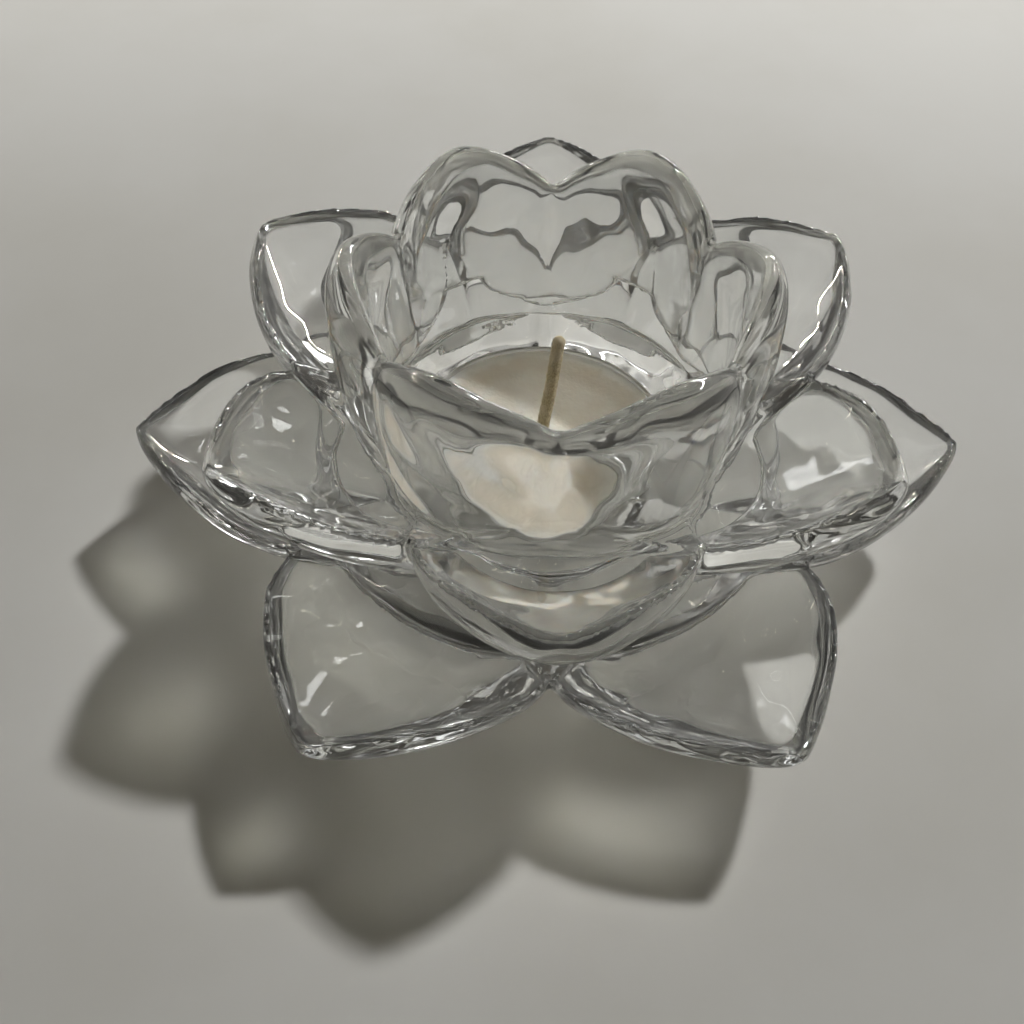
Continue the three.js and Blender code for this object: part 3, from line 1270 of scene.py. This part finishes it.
    def build_wick(self) -> None:
        """Makes the wick as a plaited tube with a rounded end."""
        rings, sides = self.wick_rings, self.wick_sides
        share = np.linspace(0, 1, rings)
        line = self.wick_line(share)
        along = np.gradient(line, axis=0)
        along /= np.linalg.norm(along, axis=1, keepdims=True)
        right = np.cross(along, (0.0, 1.0, 0.0))
        right /= np.linalg.norm(right, axis=1, keepdims=True)
        back = np.cross(along, right)
        angle = np.linspace(0, 2 * math.pi, sides, endpoint=False)[None, :]
        turn = (line[:, 2:] - line[0, 2]) * (2 * math.pi / self.wick_lay)
        half = self.wick_strands / 2
        one = np.cos(half * (angle + turn)) ** 2
        two = np.cos(half * (angle - turn)) ** 2
        relief = self.wick_waist + self.wick_relief * np.maximum(one, two) ** self.wick_relief_power
        past = np.maximum(share - (1 - self.wick_end), 0) / self.wick_end
        taper = np.where(past > 0, np.sqrt(np.maximum(1 - past**2, self.wick_end_least)), 1.0)
        radius = self.wick_radius * relief * taper[:, None]
        tube = (line[:, None] + radius[..., None] * (np.cos(angle)[..., None] * right[:, None]
                + np.sin(angle)[..., None] * back[:, None])).reshape(-1, 3)
        faces = []
        for i in range(rings - 1):
            for j in range(sides):
                k = (j + 1) % sides
                faces.append([i * sides + j, i * sides + k, (i + 1) * sides + k, (i + 1) * sides + j])
        faces.append(list(range(sides))[::-1])
        faces.append(list(range((rings - 1) * sides, rings * sides)))
        piece = new_piece("wick_braid", tube, faces, WaxedCotton())
        dress(piece, Body.CANDLE, "wick")

    def build_tab(self) -> None:
        """Makes the steel tab: a pressed disc with a drawn neck that grips the wick."""
        low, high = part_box("wick_sustainer")
        outer = (high.x - low.x) / 2
        bore = self.wick_radius + self.gap
        neck = bore + self.tab_sheet
        sheet = self.tab_sheet
        fillet = self.tab_fillet
        under = np.array([(bore, low.z), (outer - sheet / 2, low.z)])
        rim = quarter_round((outer - sheet / 2, low.z + sheet / 2), sheet / 2, -90, 90)
        bead = np.array([(r, low.z + sheet) for r in np.linspace(outer - sheet, neck + fillet, self.tab_steps)])
        turn_up = quarter_round((neck + fillet, low.z + sheet + fillet), fillet, 270, 180)
        crown = quarter_round((neck - sheet / 2, high.z - sheet / 2), sheet / 2, 0, 180)
        profile = np.vstack([under, rim, bead, turn_up, crown])
        piece = new_piece("wick_tab", *turned(profile, self.sides // 2, self.centre), TinnedSteel())
        dress(piece, Body.CANDLE, "wick_sustainer")


def around(bearing: float, height: float, distance: float) -> Triple:
    """A place round the flower.

    Args:
        bearing: Its direction from the middle, in degrees from +X towards +Y.
        height: Its angle above the table, in degrees.
        distance: Its distance from the middle.

    Returns:
        The place.
    """
    turn, rise = math.radians(bearing), math.radians(height)
    level = distance * math.cos(rise)
    return level * math.cos(turn), level * math.sin(turn), distance * math.sin(rise)


@dataclass(frozen=True)
class Lamp:
    """One area lamp, which may show only in reflections and through the glass."""

    name: str
    place: Triple
    size: Pair
    power: float
    aim: Triple = (0.0, 0.0, 0.02)
    colour: Triple = (1.0, 1.0, 1.0)
    spread: float = 180.0
    glints_only: bool = False

    def build(self) -> bpy.types.Object:
        """Makes the lamp.

        Returns:
            The lamp, turned towards its aim.
        """
        data = bpy.data.lights.new(self.name, "AREA")
        data.shape = "RECTANGLE"
        data.size, data.size_y = self.size
        data.energy = self.power
        data.color = self.colour
        data.spread = math.radians(self.spread)
        lamp = bpy.data.objects.new(self.name, data)
        away = Vector(self.place) - Vector(self.aim)
        lamp.location = self.place
        lamp.visible_camera = False
        lamp.visible_diffuse = not self.glints_only
        lamp.rotation_euler = away.to_track_quat("Z", "Y").to_euler()
        bpy.context.scene.collection.objects.link(lamp)
        return lamp


@dataclass
class Studio:
    """The table, the lamps, the room's light and the camera."""

    table_half: float = 1.6
    elevation: float = 49.36
    camera_distance: float = 198.34 * MM
    yaw: float = -0.95
    roll: float = 1.82
    target: Triple = (-5.08 * MM, 0.0, 1.77 * MM)
    focal_pixels: float = 1217.0
    frame_pixels: float = 1024.0
    sensor: float = 36.0
    near_clip: float = 5 * MM
    zenith: Colour = (0.012, 0.009, 0.005, 1.0)
    horizon: Colour = (0.20, 0.165, 0.105, 1.0)
    sky_fade: Pair = (0.12, 0.5)
    backdrop: Colour = (0.46, 0.45, 0.425, 1.0)
    lamps: tuple[Lamp, ...] = (
        Lamp("right_lamp", around(42, 53, 2.0), size=(0.13, 0.13), power=24.5),
        Lamp("back_window", around(66, 13, 1.2), size=(0.30, 0.09), power=2.2, glints_only=True),
        Lamp("back_glow", (-0.10, 0.34, 0.26), size=(0.6, 0.34), power=0.42, aim=(-0.10, 0.33, 0.0), spread=90.0),
    )
    cove_corners: tuple[Triple, ...] = ((-1.3, 0.3, 0.5), (-0.9, 1.4, 0.5), (0.9, 1.4, 0.5), (1.3, 0.3, 0.5))
    cove_dots: int = 32
    cove_dot: float = 16 * MM
    cove_power: float = 0.24
    cove_colour: Triple = (1.0, 0.93, 0.78)

    def build(self) -> None:
        """Makes the whole studio."""
        self.build_camera()
        self.build_table()
        self.build_room()
        for lamp in (*self.lamps, *self.cove()):
            lamp.build()
        bpy.context.scene.view_settings.view_transform = "Standard"

    def cove(self) -> list[Lamp]:
        """The rows of small lamps behind and beside the flower that give the glass its dotted glints.

        Returns:
            The lamps.
        """
        corners = [Vector(corner) for corner in self.cove_corners]
        size = (self.cove_dot, self.cove_dot)
        lamps = []
        for side, (start, end) in enumerate(zip(corners, corners[1:])):
            for i in range(self.cove_dots):
                place = tuple(start.lerp(end, (i + 0.5) / self.cove_dots))
                name = f"cove_{side}_{i}"
                lamps.append(Lamp(name, place, size, self.cove_power, colour=self.cove_colour, glints_only=True))
        return lamps

    def build_camera(self) -> None:
        """Makes the camera at the photograph's angle."""
        rise, turn, tip = (math.radians(a) for a in (self.elevation, self.yaw, self.roll))
        back = Vector((math.sin(turn) * math.cos(rise), -math.cos(turn) * math.cos(rise), math.sin(rise)))
        level = (-back).cross(Vector((0, 0, 1))).normalized()
        upright = level.cross(-back)
        right = level * math.cos(tip) + upright * math.sin(tip)
        up = upright * math.cos(tip) - level * math.sin(tip)
        data = bpy.data.cameras.new("camera")
        data.sensor_width = self.sensor
        data.lens = self.sensor * self.focal_pixels / self.frame_pixels
        data.clip_start = self.near_clip
        camera = bpy.data.objects.new("camera", data)
        turned_axes = Matrix((right, up, back)).transposed().to_4x4()
        camera.matrix_world = Matrix.Translation(Vector(self.target) + back * self.camera_distance) @ turned_axes
        bpy.context.scene.collection.objects.link(camera)
        bpy.context.scene.camera = camera

    def build_table(self) -> None:
        """Makes the table top, level with the foot."""
        half = self.table_half
        corners = np.array([(-half, -half, 0), (half, -half, 0), (half, half, 0), (-half, half, 0)], float)
        table = new_piece("table_top", corners, [[0, 1, 2, 3]], StoneTable())

    def build_room(self) -> None:
        """Makes the room's soft light, paler towards the horizon, with a backdrop for what is seen of it."""
        world = bpy.data.worlds.new("room")
        bpy.context.scene.world = world
        graph = Graph(world)
        way = graph.value("ShaderNodeTexCoord", {}, {}, "Generated")
        height = graph.value("ShaderNodeSeparateXYZ", {}, {0: way}, "Z")
        seen = graph.value("ShaderNodeLightPath", {}, {}, "Is Camera Ray")
        for kind in ("Is Glossy Ray", "Is Transmission Ray"):
            seen = seen + graph.value("ShaderNodeLightPath", {}, {}, kind)
        low_part = graph.mix(seen.ramp(0.0, 1.0), self.horizon, self.backdrop)
        colour = graph.mix(height.ramp(*self.sky_fade), low_part, self.zenith)
        light = graph.add("ShaderNodeBackground", {}, {"Color": colour, "Strength": 1.0})
        graph.add("ShaderNodeOutputWorld", {}, {"Surface": light.outputs[0]})


def main() -> None:
    """Builds the studio, the glass and the candle."""
    logging.basicConfig(level=logging.INFO, format="%(name)s: %(message)s")
    Studio().build()
    GlassLotus().build()
    CupCandle().build()


if __name__ == "__main__":
    main()
